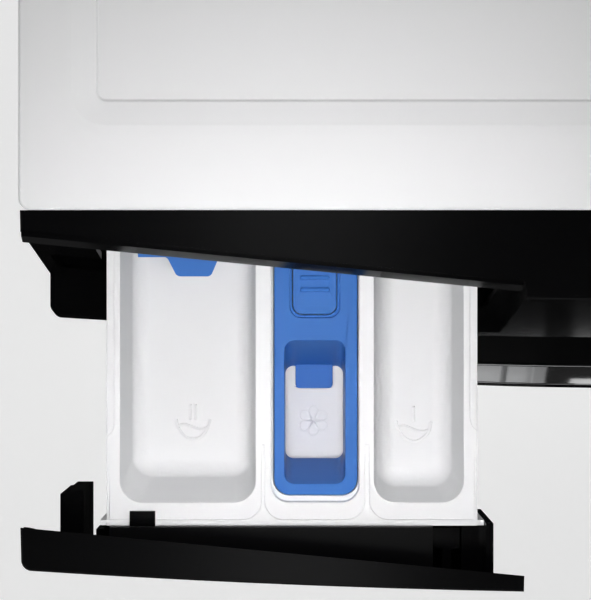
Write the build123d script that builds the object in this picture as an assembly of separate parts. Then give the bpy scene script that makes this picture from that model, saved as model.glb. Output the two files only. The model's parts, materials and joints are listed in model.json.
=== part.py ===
from build123d import *
import os
import math

os.makedirs("parts", exist_ok=True)

# ------------------------------------------------------------------ driving dimensions (mm)
# X to the right, Y towards the back, Z up.  Origin on the floor, middle of the cabinet.
TOP_Z = 850.0          # highest face of the machine
HALF = 300.0           # half the cabinet width
REAR_Y = 275.0         # rearmost face of the top panel
LID_FRONT = -253.0     # front edge of the top panel
PANEL_Y = -275.0       # outer face of the pressed front panel
SHEET = 1.2            # steel sheet

BOW = 9074.0           # bow of the whole front: sagitta = x*x/BOW
A_TOP = 37.7           # how far the fascia stands ahead of the top panel, at the top edge
Z_TOP = 843.0
LEAN = 0.154           # the fascia leans outwards going down
TOP_SLOPE = 0.185      # the fascia's top falls towards the front
LEDGE_Z = 738.0        # ledge under the drawer
FASCIA_Z0 = 726.0      # bottom of the fascia
SKIN = 3.0

BACK_A0 = 9.03         # plane behind the drawer front: a = BACK_A0 + BACK_K * (x - BACK_X0)
BACK_K = 0.0984
BACK_X0 = -296.7
DRAWER_R = -86.7       # right end of the drawer front
PULL = 123.3           # how far the drawer stands out

AXIS_Z = 415.0         # height of the drum's axis and of the door's centre
DOOR_R = 230.0
DRUM_R = 238.0
TUB_R = 250.0
TUB_IN = 246.0


def Y(a):
    """a = distance ahead of the top panel's front edge."""
    return LID_FRONT - a


def box(x0, x1, y0, y1, z0, z1):
    return Pos((x0 + x1) / 2, (y0 + y1) / 2, (z0 + z1) / 2) * Box(x1 - x0, y1 - y0, z1 - z0)


def rface(x0, x1, y0, y1, r, z):
    return Pos((x0 + x1) / 2, (y0 + y1) / 2, z) * RectangleRounded(x1 - x0, y1 - y0, r)


def rbox(x0, x1, y0, y1, z0, z1, r):
    return extrude(rface(x0, x1, y0, y1, r, z0), z1 - z0)


def taper(a, b):
    """loft between two (x0, x1, y0, y1, r, z) rounded rectangles"""
    return loft([rface(*a), rface(*b)], ruled=True)


def cyl_x(y, z, r, x0, x1):
    return Pos((x0 + x1) / 2, y, z) * Rot(0, 90, 0) * Cylinder(r, x1 - x0)


def cyl_y(x, z, r, y0, y1):
    return Pos(x, (y0 + y1) / 2, z) * Rot(90, 0, 0) * Cylinder(r, y1 - y0)


def cyl_z(x, y, r, z0, z1):
    return Pos(x, y, (z0 + z1) / 2) * Cylinder(r, z1 - z0)


def turned(pts, zc=AXIS_Z, xc=0.0):
    """solid of revolution about an axis along Y; points are (radius, y)"""
    f = make_face(Polyline(*pts, close=True))
    return Pos(xc, 0, zc) * revolve(f, Axis.Y)


def prism_x(pts, x0, x1):
    return Pos(x0, 0, 0) * extrude(Plane.YZ * make_face(Polyline(*pts, close=True)), x1 - x0)


def prism_y(pts, y0, y1):
    return Pos(0, y1, 0) * extrude(Plane.XZ * make_face(Polyline(*pts, close=True)), y1 - y0)


def prism_z(pts, z0, z1):
    return Pos(0, 0, z0) * extrude(make_face(Polyline(*pts, close=True)), z1 - z0)


def pipe(pts, ro, ri, bend):
    """hose along a polyline with round corners"""
    V = [Vector(*p) for p in pts]
    edges, cur = [], V[0]
    for i in range(1, len(V) - 1):
        u = (V[i - 1] - V[i]).normalized()
        v = (V[i + 1] - V[i]).normalized()
        beta = math.acos(max(-1, min(1, u.dot(v)))) / 2
        t = bend / math.tan(beta)
        w = (u + v).normalized()
        c = V[i] + w * (bend / math.sin(beta))
        p1, p2, m = V[i] + u * t, V[i] + v * t, c - w * bend
        edges.append(Line(cur, p1))
        edges.append(ThreePointArc(p1, m, p2))
        cur = p2
    edges.append(Line(cur, V[-1]))
    path = Wire(edges)
    pl = Plane(origin=V[0], z_dir=(V[1] - V[0]))
    out = sweep(pl * Circle(ro), path=path)
    if ri > 0:
        out = out - sweep(pl * Circle(ri), path=path)
    return out


def arc_slab(a0, a1, z0=120.0, z1=720.0, half=300.0):
    """upright slab between two bowed faces"""
    def pts(a):
        return (-half, Y(a - half * half / BOW)), (0, Y(a)), (half, Y(a - half * half / BOW))
    p, q = pts(a0), pts(a1)
    f = make_face([ThreePointArc(*p), Line(p[2], q[2]), ThreePointArc(*reversed(q)), Line(q[0], p[0])])
    return Pos(0, 0, z0) * extrude(f, z1 - z0)


def fascia_block(off, side, z0, z1, back=0.0, corner=4.5):
    """leaning, bowed block; off and side move its front and side faces"""
    def face(z):
        hw = 298.2 + (Z_TOP - z) * 0.0171 + side
        am = A_TOP + LEAN * (Z_TOP - z) + off
        ae = am - hw * hw / BOW
        l = [ThreePointArc((-hw, Y(ae)), (0, Y(am)), (hw, Y(ae))),
             Line((hw, Y(ae)), (hw, Y(back))), Line((hw, Y(back)), (-hw, Y(back))),
             Line((-hw, Y(back)), (-hw, Y(ae)))]
        s = Sketch() + make_face(l)
        vs = s.vertices().sort_by(Axis.Y)[:2]
        return Pos(0, 0, z) * fillet(vs, radius=corner)
    return loft([face(z0), face(z1)], ruled=True)


def back_a(x):
    return BACK_A0 + BACK_K * (x - BACK_X0)


def recess(back_off, right, z0, z1=880.0):
    """space the drawer front fills, ahead of its back plane"""
    def face(z):
        d = LEAN * (Z_TOP - z) + back_off
        return Pos(0, 0, z) * make_face(Polyline((-330, Y(back_a(-330) + d)), (right, Y(back_a(right) + d)),
                                                 (right, Y(260)), (-330, Y(260)), close=True))
    return loft([face(z0), face(z1)], ruled=True)


def above_slope(drop):
    """everything above the fascia's sloping top, lowered by drop"""
    def z(a):
        return TOP_Z - 1.0 - TOP_SLOPE * a - drop
    return prism_x([(Y(-30), z(-30)), (Y(120), z(120)), (Y(120), 910), (Y(-30), 910)], -330, 330)


def soft_top(block):
    """the top edge rounded along the front and the sides"""
    top = block.faces().sort_by(Axis.Z)[-1]
    return fillet([e for e in top.edges() if e.center().Y < Y(3)], radius=1.1)


def lip(poly):
    """strip along the shelf edge; poly holds (ahead, up) from the edge"""
    x0 = -300.5
    a0 = back_a(x0)
    z0 = TOP_Z - 1.0 - TOP_SLOPE * a0
    f = Pos(x0, 0, 0) * (Plane.YZ * make_face(Polyline(*[(Y(a0 + p), z0 + q) for p, q in poly], close=True)))
    d = Vector(1, -BACK_K, -TOP_SLOPE * BACK_K)
    return extrude(f, amount=(DRAWER_R - 0.4 - x0) * d.length, dir=d.normalized())


def save(shape, name):
    export_step(shape, "parts/" + name + ".step")


# ------------------------------------------------------------------ cabinet
# top panel: pan with a shallow sunk field
lid = rbox(-298.6, 298.6, LID_FRONT, REAR_Y, 819.0, TOP_Z, 5.0)
lid = fillet(lid.edges().group_by(Axis.Z)[-1], radius=1.5)
lid -= rbox(-295.6, 295.6, LID_FRONT + 3, REAR_Y - 3, 818.0, 844.5, 3.0)
lid -= taper((-281.4, 281.4, -222.6, 246.0, 19.0, TOP_Z + 0.01), (-276.4, 276.4, -217.6, 241.0, 14.0, TOP_Z - 0.4))
lid -= taper((-276.4, 276.4, -217.6, 241.0, 14.0, TOP_Z - 0.39), (-266.3, 266.3, -207.6, 230.8, 4.2, TOP_Z - 2.5))
lid -= taper((-266.3, 266.3, -207.6, 230.8, 4.2, TOP_Z - 2.49), (-265.4, 265.4, -206.5, 229.8, 3.4, TOP_Z - 3.8))
save(lid, "top_panel")

# side panels: sheet with front, rear and top flanges; the top flange carries the springs
SCREWS = [(-288, 780), (-288, 600), (-288, 415), (-288, 230), (-288, 82),
          (288, 780), (288, 600), (288, 415), (288, 230), (288, 82)]
SPRING_X, SPRING_Y = 279.0, -20.0
for name, s in (("side_panel_left", -1), ("side_panel_right", 1)):
    def sb(x0, x1, *r):
        return box(min(s * x0, s * x1), max(s * x0, s * x1), *r)
    p = sb(298.8, 300.0, -250, 271, 63, 818.5)
    p += sb(276.0, 300.0, -250, -248.8, 63, 818.5)
    p += sb(278.0, 300.0, 269.8, 271, 63, 818.5)
    p += sb(272.4, 300.0, -250, 271, 817.3, 818.5)
    if s < 0:
        p -= box(-294.5, -270, -252, -248, 740, 800)
    p -= cyl_z(s * SPRING_X, SPRING_Y, 2.4, 815, 820)
    for x, z in SCREWS:
        p -= cyl_y(x, z, 2.1, 262, 275)
    save(p, name)

# rear panel
DRAIN_X, DRAIN_Z = 266.0, 640.0
VALVE_X, VALVE_Z = -230.0, 770.0
GLAND_X, GLAND_Z = 180.0, 90.0
rear = box(-299.8, 299.8, 271.0, 272.2, 20.0, 818.5)
rear -= cyl_y(0, AXIS_Z, 152.0, 270, 274)
rear -= cyl_y(VALVE_X, VALVE_Z, 15.0, 270, 274)
rear -= cyl_y(DRAIN_X, DRAIN_Z, 11.2, 270, 274)
rear -= cyl_y(GLAND_X, GLAND_Z, 9.0, 270, 274)
BOLTS = [(-190, 300), (190, 300), (-190, 560), (190, 560)]
for x, z in BOLTS:
    rear -= cyl_y(x, z, 10.0, 270, 274)
for x, z in SCREWS:
    rear -= cyl_y(x, z, 2.1, 270, 274)
save(rear, "rear_panel")
cover = turned([(0, 272.2), (166, 272.2), (166, 273.4), (158, 274.6), (150, 276.6), (0, 276.6)])
cover -= turned([(0, 272.1), (152, 272.1), (148, 275.2), (0, 275.2)])
save(cover, "rear_access_cover")
screws = None
for x, z in SCREWS:
    k = cyl_y(x, z, 4.2, 272.2, 274.4) + cyl_y(x, z, 1.9, 264, 272.2)
    k = k - box(x - 3, x + 3, 273.8, 275, z - 0.5, z + 0.5) - box(x - 0.5, x + 0.5, 273.8, 275, z - 3, z + 3)
    screws = k if screws is None else screws + k
save(screws, "panel_screws")

# base: open pan on four feet, with seats for the dampers
FEET = [("foot_front_left", -262, -222), ("foot_front_right", 262, -222),
        ("foot_rear_left", -262, 238), ("foot_rear_right", 262, 238)]
DAMPER_X, DAMPER_Y = 200.0, 30.0
base = box(-299.8, 299.8, -250, 270.8, 16, 62.8) - box(-296.5, 296.5, -247, 267.8, 19, 70)
for _, x, y in FEET:
    base += cyl_z(x, y, 17, 16, 62.8)
for s in (-1, 1):
    base += cyl_z(s * DAMPER_X, DAMPER_Y, 20, 18, 58)
base += box(-290, 290, 8, 12, 18, 40) - box(120, 296, 0, 20, 17, 50) + box(-150, -146, -247, 267.8, 18, 34)
for _, x, y in FEET:
    base -= cyl_z(x, y, 5.3, 10, 66)
base -= box(150, 260, -252, -240, 24, 88)
for s in (-1, 1):
    base -= cyl_z(s * DAMPER_X, DAMPER_Y, 5.0, 40, 60)
save(base, "base_frame")
for name, x, y in FEET:
    pad = Pos(x, y, 0) * revolve(Plane.XZ * make_face(Polyline((0, 0), (21, 0), (22, 1.2), (22, 5), (17, 9), (9, 10), (9, 12),
                                                       (5, 12), (5, 52), (4.2, 53), (0, 53), close=True)), Axis.Z)
    save(pad, name)

# front panel: pressed pan with the door opening
front = rbox(-299.5, 299.5, PANEL_Y, -250.2, 94, 725, 4.0) - box(-298.3, 298.3, PANEL_Y + SHEET, -248, 95.2, 723.8)
front -= cyl_y(0, AXIS_Z, 178.0, -280, -268)
front += turned([(176.5, PANEL_Y), (179, PANEL_Y), (179, PANEL_Y + SHEET), (178, PANEL_Y + 2), (178, -262), (176.5, -262)])
LOCK_X = 207.0
front -= box(196, 219, -280, -270, 403, 427)
save(front, "front_panel")

# plinth with the service flap's opening
FLAP_X = 205.0
plinth = rbox(-299.5, 299.5, PANEL_Y, -250.2, 20, 92.8, 4.0) - box(-297, 297, PANEL_Y + 2.5, -248, 10, 90.3)
plinth -= box(FLAP_X - 44, FLAP_X + 44, -280, -270, 26, 86)
plinth -= cyl_x(-273.75, 30, 1.1, FLAP_X - 46.5, FLAP_X + 46.5)
save(plinth, "plinth_panel")
flap = box(FLAP_X - 43.5, FLAP_X + 43.5, PANEL_Y, PANEL_Y + 2.5, 27.6, 85.5)
flap = flap - cyl_y(FLAP_X, 81.5, 8, -280, -276) 
flap -= Pos(FLAP_X, PANEL_Y - 0.2, 80) * Rot(90, 0, 0) * Cylinder(7, 2.4)
flap += cyl_x(-273.75, 30, 0.9, FLAP_X - 45.8, FLAP_X + 45.8)
flap += box(FLAP_X - 3, FLAP_X + 3, -272.5, -268, 80, 82)
save(flap, "service_flap")

# ------------------------------------------------------------------ fascia
outer = soft_top(fascia_block(0, 0, FASCIA_Z0, 880) - above_slope(0))
fascia = outer - recess(0, -85.5, LEDGE_Z)
hollow = fascia_block(-SKIN, -SKIN, FASCIA_Z0 + SKIN, 880, back=-5) - above_slope(SKIN) - recess(-SKIN, -85.5 + SKIN, LEDGE_Z - SKIN)
fascia = fascia - hollow
fascia += lip([(-0.5, -0.6), (0, -0.6), (0, -3.1), (1.7, -3.2), (4.2, -8.0), (4.2, -8.6), (1.7, -11.0), (-0.5, -11.0)]) & fascia_block(0, 0, FASCIA_Z0, 880)
fascia -= box(-269.6, -95.0, Y(70), Y(-10), 744.5, 822.0)
fascia -= box(-293.0, -269.0, Y(70), Y(-10), 742.0, 794.0)
# openings of the controls; the control axes stand square to the leaning face
TILT = -math.degrees(math.atan(LEAN))


def on_face(x, z):
    """location on the fascia's face: local z points out of it"""
    a = A_TOP + LEAN * (Z_TOP - z) - x * x / BOW
    return Pos(x, Y(a), z) * Rot(90 + TILT, 0, 0)


KNOB = (14.0, 790.0)
POWER = (-36.0, 790.0)
START = (232.0, 790.0)
fascia -= on_face(*KNOB) * Cylinder(5.4, 30)
fascia -= on_face(*POWER) * Cylinder(9.4, 30)
fascia -= on_face(*START) * Cylinder(11.4, 30)
win_box = box(60, 190, -330, -240, 764, 816)
fascia -= (fascia_block(5, 5, 740, 840) - fascia_block(-1.9, 5, 740, 840, back=-20)) & win_box
fascia -= (fascia_block(5, 5, 740, 840) - fascia_block(-9, 5, 740, 840, back=-20)) & box(66, 184, -330, -240, 770, 810)
save(fascia, "fascia")
window = (fascia_block(0.3, 5, 740, 840) - fascia_block(-1.9, 5, 740, 840, back=-20)) & box(60.3, 189.7, -330, -240, 764.3, 815.7)
save(window, "display_window")

knob = Pos(0, 0, 10.5) * Cylinder(25.0, 19.0) - Pos(0, 0, 8.0) * Cylinder(22.5, 18.0)
knob = fillet(knob.edges().group_by(Axis.Z)[-1], radius=2.0)
knob += Pos(0, 0, 4.0) * Cylinder(5.0, 28.0)
knob += Pos(0, 19.5, 20.2) * Box(1.6, 8.0, 0.8)
save(on_face(*KNOB) * knob, "programme_knob")
power = Pos(0, 0, -3.5) * Cylinder(9.0, 11.0) + Pos(0, 0, -4.3) * Cylinder(11.0, 2.0)
save(on_face(*POWER) * power, "power_button")
start = Pos(0, 0, -3.5) * Cylinder(11.0, 11.0) + Pos(0, 0, -5.0) * Cylinder(13.0, 2.0)
save(on_face(*START) * start, "start_button")

board = box(-70, 258, Y(3.6), Y(2.0), 748, 828)
board += box(72, 178, Y(20), Y(3.5), 772, 808)
for x, z, r in ((KNOB[0], KNOB[1], 9.0), (POWER[0], POWER[1], 4.0), (START[0], START[1], 4.0), (-62, 822, 3.0), (250, 822, 3.0), (-62, 756, 3.0), (250, 756, 3.0)):
    reach = {9.0: 16.0, 4.0: 10.5, 3.0: 3.2}[r]
    pin = (on_face(x, z) * Pos(0, 0, -reach - 25) * Cylinder(r, 50)) - box(-300, 300, Y(2.6), Y(-80), 700, 900)
    board += pin
save(board, "control_board")

# ------------------------------------------------------------------ dispenser
RIM = 808.0
FLOOR = 768.0
TX0, TX1 = -266.0, -102.9
TA0, TA1 = -98.3, 136.7


def cup(x0, x1, a0, a1, r, side, end, grow, top, floor, rf):
    """compartment with drafted walls and a rounded bottom: rim rectangle x0..x1, a0..a1; side/end = how far the walls lean in"""
    s = taper((x0 - grow, x1 + grow, Y(a1 + grow), Y(a0 - grow), r + grow, top),
              (x0 + side - grow, x1 - side + grow, Y(a1 - end + grow), Y(a0 + 4 - grow), r + grow, floor - grow))
    return fillet(s.edges().group_by(Axis.Z)[0], radius=rf + grow)


tray = box(TX0, TX1, Y(TA1), Y(TA0), RIM - 2.2, RIM)
tray += box(TX0, TX0 + 2, Y(TA1), Y(TA0), 758, RIM) + box(TX1 - 2, TX1, Y(TA1), Y(TA0), 758, RIM)
tray += box(TX0 - 3.0, TX1 + 3.0, Y(TA1), Y(TA1 - 2.4), 762, RIM - 1.0)
tray += box(TX0, TX1, Y(TA0 + 2), Y(TA0), 766, RIM)
cups = [(-260.0, -200.4, -92, 126.5, 9.7, 2.8, 9.2, 8.0), (-148.5, -109.0, -92, 126.4, 9.7, 2.8, 4.2, 9.0)]
for c in cups:
    tray += cup(c[0], c[1], c[2], c[3], c[4], c[5], c[6], 1.8, RIM, FLOOR, c[7])
PX0, PX1 = -193.6, -154.9
tray += rbox(PX0 - 1.8, PX1 + 1.8, Y(128.2), Y(-31.8), 766.2, RIM, 9.5)
# each compartment's rim swells towards the front, leaving a valley between neighbours
swell = prism_x([(Y(99), RIM - 0.5), (Y(99), RIM), (Y(114), RIM + 0.7), (Y(140), RIM + 0.7), (Y(140), RIM - 0.5)], -270, -95)
for x0, x1, square in ((-264.6, -197.8, -1), (-196.5, -152.4, 0), (-150.4, -104.4, 1)):
    pad = rbox(x0, x1, Y(134.0), Y(60), RIM - 0.5, RIM + 0.7, 8.5)
    if square < 0:
        pad += box(x0, x0 + 12, Y(134.0), Y(90), RIM - 0.5, RIM + 0.7)
    if square > 0:
        pad += box(x1 - 12, x1, Y(134.0), Y(90), RIM - 0.5, RIM + 0.7)
    tray += pad & swell
for x0, x1 in ((-197.8, -196.5), (-152.4, -150.4)):
    tray -= prism_x([(Y(101), RIM + 1.5), (Y(101), RIM - 0.1), (Y(113), RIM - 1.3), (Y(126), RIM - 1.3), (Y(131), RIM), (Y(131), RIM + 1.5)], x0, x1)
# lowered running strips along both outer edges
tray -= prism_z([(-267, Y(-99)), (-262.7, Y(-99)), (-262.7, Y(92.4)), (-263.2, Y(94.6)), (-264.4, Y(96.4)), (-267, Y(98.4))], RIM - 0.6, RIM + 1)
tray -= prism_z([(-102, Y(-99)), (-106.2, Y(-99)), (-106.2, Y(89.6)), (-105.7, Y(92.0)), (-104.4, Y(94.0)), (-102, Y(95.6))], RIM - 0.6, RIM + 1)
for c in cups:
    tray -= cup(c[0], c[1], c[2], c[3], c[4], c[5], c[6], 0.0, RIM + 0.8, FLOOR, c[7])
    tray -= box(c[0] + 14, c[1] - 12, Y(-80), Y(-105), FLOOR + 2, FLOOR + 18)
tray -= rbox(PX0, PX1, Y(126.4), Y(-30), FLOOR, RIM + 5, 7.7)
tray -= box(-180, -168, Y(-20), Y(-40), FLOOR - 4, FLOOR + 10)
# ledge round the pocket, under the insert's rim
tray += rbox(PX0 - 0.5, PX1 + 0.5, Y(127.0), Y(-30.5), 799.6, 802.6, 8.2) - rbox(-192.8, -155.2, Y(123.9), Y(-29.0), 799.0, 803.0, 7.2)
save(tray, "drawer_tray")

# softener insert
siphon = rbox(-192.3, -155.7, Y(123.4), Y(-24.0), 803.0, 806.0, 7.0)
siphon += box(PX0, PX1, Y(2.0), Y(-12.0), 803.0, 806.0)
hole_top = (-187.7, -161.0, Y(118.5), Y(55.3), 4.4, 806.01)
hole_low = (-187.5, -161.2, Y(109.6), Y(67.7), 3.7, 776.0)


def grow(t, g):
    return (t[0] - g, t[1] + g, t[2] - g, t[3] + g, t[4] + g, t[5])


siphon += taper(grow(hole_top, 1.2)[:5] + (805.0,), grow(hole_low, 1.2))
siphon -= taper(hole_top, hole_low[:5] + (775.9,))
siphon += rbox(-182.9, -166.0, Y(77.7), Y(50.0), 776.2, 777.7, 1.9) & box(-190, -160, Y(78.5), Y(66.9), 770, 800)
siphon += cyl_z(-174.5, Y(-12), 6.5, 772.0, 803.5) - cyl_z(-174.5, Y(-12), 4.8, 770.0, 800.0)
siphon -= rbox(-185.4, -163.3, Y(45.4), Y(8.0), 800, 810, 5.0)
# skirt that closes most of the slot round the release tab from below
siphon += (rbox(-187.0, -161.7, Y(47.0), Y(3.0), 800.6, 803.3, 6.4) - rbox(-184.4, -164.5, Y(44.1), Y(-5.0), 800, 804, 4.6)) & box(-190, -160, Y(50), Y(9.0), 800, 804)
siphon -= box(-185.4, -163.3, Y(20), Y(6.6), 800, 810)
save(siphon, "softener_siphon")

tab = rbox(-184.0, -164.9, Y(43.7), Y(20.0), 803.2, 806.0, 4.2) + box(-184.0, -164.9, Y(30.0), Y(8.5), 803.2, 806.0)
for a in (27.6, 32.9):
    tab += cyl_x(Y(a), 806.0, 1.0, -180.0, -168.8) + Pos(-180.0, Y(a), 806.0) * Sphere(1.0) + Pos(-168.8, Y(a), 806.0) * Sphere(1.0)
tab += box(-180, -169, Y(14.0), Y(10.0), 799.0, 803.4)
tab += cyl_x(Y(8.5), 804.6, 1.4, -184.0, -164.9)
save(tab, "release_tab")

# liquid flap: plate with a tapered thumb tab, pins into the compartment's side walls
FLAP_A = -6.0
lflap = prism_z([(-252.4, Y(FLAP_A)), (-252.4, Y(18.6)), (-239.6, Y(18.6)), (-235.2, Y(27.1)),
                 (-220.3, Y(27.1)), (-216.7, Y(18.6)), (-207.8, Y(18.6)), (-207.8, Y(FLAP_A))], 803.6, 805.2)
lflap = fillet(lflap.edges().filter_by(Axis.Z).filter_by(lambda e: e.center().Y < Y(25) and e.length > 1), radius=2.6)
lflap = fillet(lflap.edges().filter_by(Axis.Z).filter_by(lambda e: Y(20) < e.center().Y < Y(17) and -241 < e.center().X < -215), radius=2.2)
lflap += cyl_x(Y(FLAP_A), 804.0, 1.6, -252.4, -207.8)
lflap += cyl_x(Y(FLAP_A), 804.0, 1.0, -258.6, -202.0)
save(lflap, "liquid_flap")

# drawer front: hollow shell open at the back, standing PULL ahead of its closed place
shift = Pos(0, -PULL, 0)
dfo = soft_top(fascia_block(0, 0, 700, 880, back=-20) - above_slope(0)) & recess(0.5, DRAWER_R, 740.0)
dfi = (fascia_block(-2.5, -2.5, 700, 880, back=-40, corner=2.5) & recess(-8, DRAWER_R - 2.5, 742.5)) - above_slope(2.5)
dfront = dfo - dfi
dfront -= lip([(0.3, 0.69), (0.9, -2.5), (2.0, -2.5), (5.0, -6.4), (5.0, -12), (-3, -12), (-3, 0.69)])
dfront = shift * dfront
grip = (shift * fascia_block(-1.0, 0, 700, 880, back=-20, corner=2.5))
ribs = box(-262.0, -258.5, Y(162), Y(137.0), 749, 796)
ribs += box(-108.0, -104.5, Y(168), Y(137.0), 749, 796)
ribs += box(-188.0, -184.5, Y(168), Y(137.0), 749, 796)
ribs += box(-268.0, -99.4, Y(185), Y(137.0), 795.0, 797.0)
ribs += box(-268.0, -99.4, Y(185), Y(137.0), 748.0, 750.5)
ribs -= box(-123.2, -109.0, Y(163), Y(138.2), 790, 800)
dfront += ribs & grip
frame_r = box(-99.6, -96.3, Y(170), Y(135.2), 756, 812)
dfront += frame_r & grip
arm = box(-288.6, -278.0, Y(158), Y(122.9), 750, 790) - box(-286.1, -280.5, Y(155), Y(127), 749, 787.5)
arm -= box(-300, -285.4, Y(124.6), Y(120), 740, 800)
dfront += arm & grip
dfront += (box(-272.5, -266.0, Y(150.0), Y(140.5), 764, 790) + box(-268.0, -264.0, Y(150.0), Y(137.0), 764, 797)) & grip
clip = box(-122.0, -110.2, Y(147.5), Y(138.5), 800, 802) + box(-122.0, -110.2, Y(147.5), Y(145.5), 770, 802)
dfront += clip + (box(-118, -114, Y(168), Y(147.4), 770, 802) & grip)
dfront += box(-255.6, -244.4, Y(139.0), Y(130.0), RIM + 0.7, RIM + 2.4) + box(-255.6, -244.4, Y(139.0), Y(137.0), 796, RIM + 2.4)
save(dfront, "drawer_front")

# housing, open to the front; the lid closes it and carries the spray chamber
hous = box(-271.5, -98.0, -250, -22, 744, 812) - box(-269.0, -100.5, -255, -24.5, 747, 820)
hous += box(-269.2, -263.0, -249, -30, 746.5, 757.6) + box(-106.0, -100.3, -249, -30, 746.5, 757.6)
hous += cyl_z(-150, -110, 20.0, 733.0, 745.0)
hous -= cyl_z(-150, -110, 17.0, 730, 750)
hous -= box(-160, -140, -24, -20, 800, 813)
save(hous, "dispenser_housing")
dlid = box(-271.5, -98.0, -250, -22, 812.0, 826.0) - box(-269.5, -100.0, -248, -24, 814.0, 824.0)
dlid += cyl_y(-200, 818.0, 6.0, -22.5, -4.0)
dlid -= cyl_y(-200, 818.0, 4.5, -26.0, 0.0)
for i in range(7):
    for j in range(6):
        dlid -= cyl_z(-255 + i * 22, -225 + j * 36, 1.5, 810, 815)
save(dlid, "dispenser_lid")

# ------------------------------------------------------------------ water path
valve = box(VALVE_X - 20, VALVE_X + 20, 224, 271.0, VALVE_Z - 20, VALVE_Z + 20)
valve += cyl_y(VALVE_X, VALVE_Z, 13.2, 270.0, 290.0) + cyl_y(VALVE_X, VALVE_Z, 17.0, 272.2, 274.0)
valve += cyl_z(VALVE_X, 246, 15, VALVE_Z + 19, VALVE_Z + 38)
valve += cyl_y(VALVE_X, VALVE_Z, 8.0, 214, 225)
valve -= cyl_y(VALVE_X, VALVE_Z, 8.5, 278, 291)
save(valve, "inlet_valve")
save(pipe([(VALVE_X, 214, VALVE_Z), (VALVE_X, 150, VALVE_Z), (-200, 60, 818), (-200, -4.0, 818)], 9.0, 6.0, 30), "inlet_hose")

# pump with its filter, reached through the service flap
PX, PZ = FLAP_X, 57.0
pump = cyl_y(PX, PZ, 27.0, -258, -128) + cyl_y(PX, PZ, 33.0, -130, -104) + cyl_y(PX, PZ, 24.0, -104, -50)
pump += cyl_z(PX, -160, 21.0, 60, 96) + cyl_x(-117, PZ, 11.0, PX + 20, PX + 46)
pump += box(PX - 22, PX + 22, -220, -212, 19, 50) + box(PX - 22, PX + 22, -90, -82, 19, 50)
pump -= cyl_y(PX, PZ, 23.0, -260, -134) + cyl_y(PX, PZ, 24.0, -126, -108) + cyl_y(PX, PZ, 12.0, -140, -120)
pump -= cyl_z(PX, -160, 17.0, 62, 98) + cyl_x(-117, PZ, 8.0, PX + 15, PX + 48)
save(pump, "drain_pump")
imp = cyl_y(PX, PZ, 6.0, -124, -111)
for i in range(4):
    imp += Pos(PX, -117.5, PZ) * Rot(0, 90 * i + 20, 0) * box(0, 20, -5.5, 5.5, -1.2, 1.2)
save(imp, "pump_impeller")
filt = cyl_y(PX, PZ, 22.4, -260, -238) + cyl_y(PX, PZ, 26.5, -266, -259)
filt += box(PX - 3, PX + 3, -271, -265, PZ - 20, PZ + 20)
filt += turned([(19, -239), (22, -239), (22, -196), (19, -196)], PZ, PX)
for i in range(8):
    filt -= Pos(PX, -217, PZ) * Rot(0, 45 * i, 0) * box(10, 30, -17, 15, -3.5, 3.5)
save(filt, "pump_filter")
drain = pipe([(PX + 46, -117, PZ), (DRAIN_X, -117, PZ), (DRAIN_X, -80, 76), (DRAIN_X, 222, 76), (DRAIN_X, 222, DRAIN_Z), (DRAIN_X, 290, DRAIN_Z)],
             11.0, 8.0, 14)
drain += cyl_y(DRAIN_X, DRAIN_Z, 15.0, 272.2, 275.0) - cyl_y(DRAIN_X, DRAIN_Z, 9.5, 270, 277)
save(drain, "drain_hose")
SUMP = (PX, -160.0)


def bellows(x, y, z0, z1, r, wall, n, amp):
    out, inn = [], []
    cuff = 12.0
    h = (z1 - z0 - 2 * cuff) / n
    out.append((r, z0))
    out.append((r, z0 + cuff))
    for i in range(n):
        z = z0 + cuff + i * h
        out += [(r + amp, z + 0.25 * h), (r + amp, z + 0.55 * h), (r, z + 0.8 * h)]
    out += [(r, z1)]
    inn = [(p - wall, z) for p, z in reversed(out)]
    return Pos(x, y, 0) * revolve(Plane.XZ * make_face(Polyline(*(out + inn), close=True)), Axis.Z)


SUMP_TOP = 243.0
save(bellows(SUMP[0], SUMP[1], 96.0, SUMP_TOP, 21.0, 3.5, 9, 3.0), "sump_hose")
DISP_LOW = 634.0
save(bellows(-150, -110, DISP_LOW, 733.0, 20.5, 3.5, 6, 3.0), "dispenser_hose")
gland = cyl_y(GLAND_X, GLAND_Z, 8.8, 262, 276) + cyl_y(GLAND_X, GLAND_Z, 13.0, 272.2, 278)
gland += cyl_y(GLAND_X, GLAND_Z, 13.0, 258, 264) 
gland -= cyl_y(GLAND_X, GLAND_Z, 4.0, 250, 284)
save(gland, "mains_gland")

# ------------------------------------------------------------------ tub group
MX, MZ = 88.0, 112.0     # motor axis
tubf = turned([(184, -236), (188, -236), (188, -208), (TUB_R, -205), (TUB_R, -64), (258, -64), (258, -60),
               (TUB_IN, -60), (TUB_IN, -201), (184, -204)])
tubf += cyl_z(SUMP[0], SUMP[1], 21.0, SUMP_TOP, 290) - cyl_y(0, AXIS_Z, 248, -220, -50)
tubf -= cyl_z(SUMP[0], SUMP[1], 17.5, 230, 290) & box(150, 250, -200, -100, 230, 282)
tubf += cyl_z(-150, -110, 20.5, 600, DISP_LOW) - cyl_y(0, AXIS_Z, 248, -220, -50)
tubf -= cyl_z(-150, -110, 17.0, 602, 640)
save(tubf, "tub_front")

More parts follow.
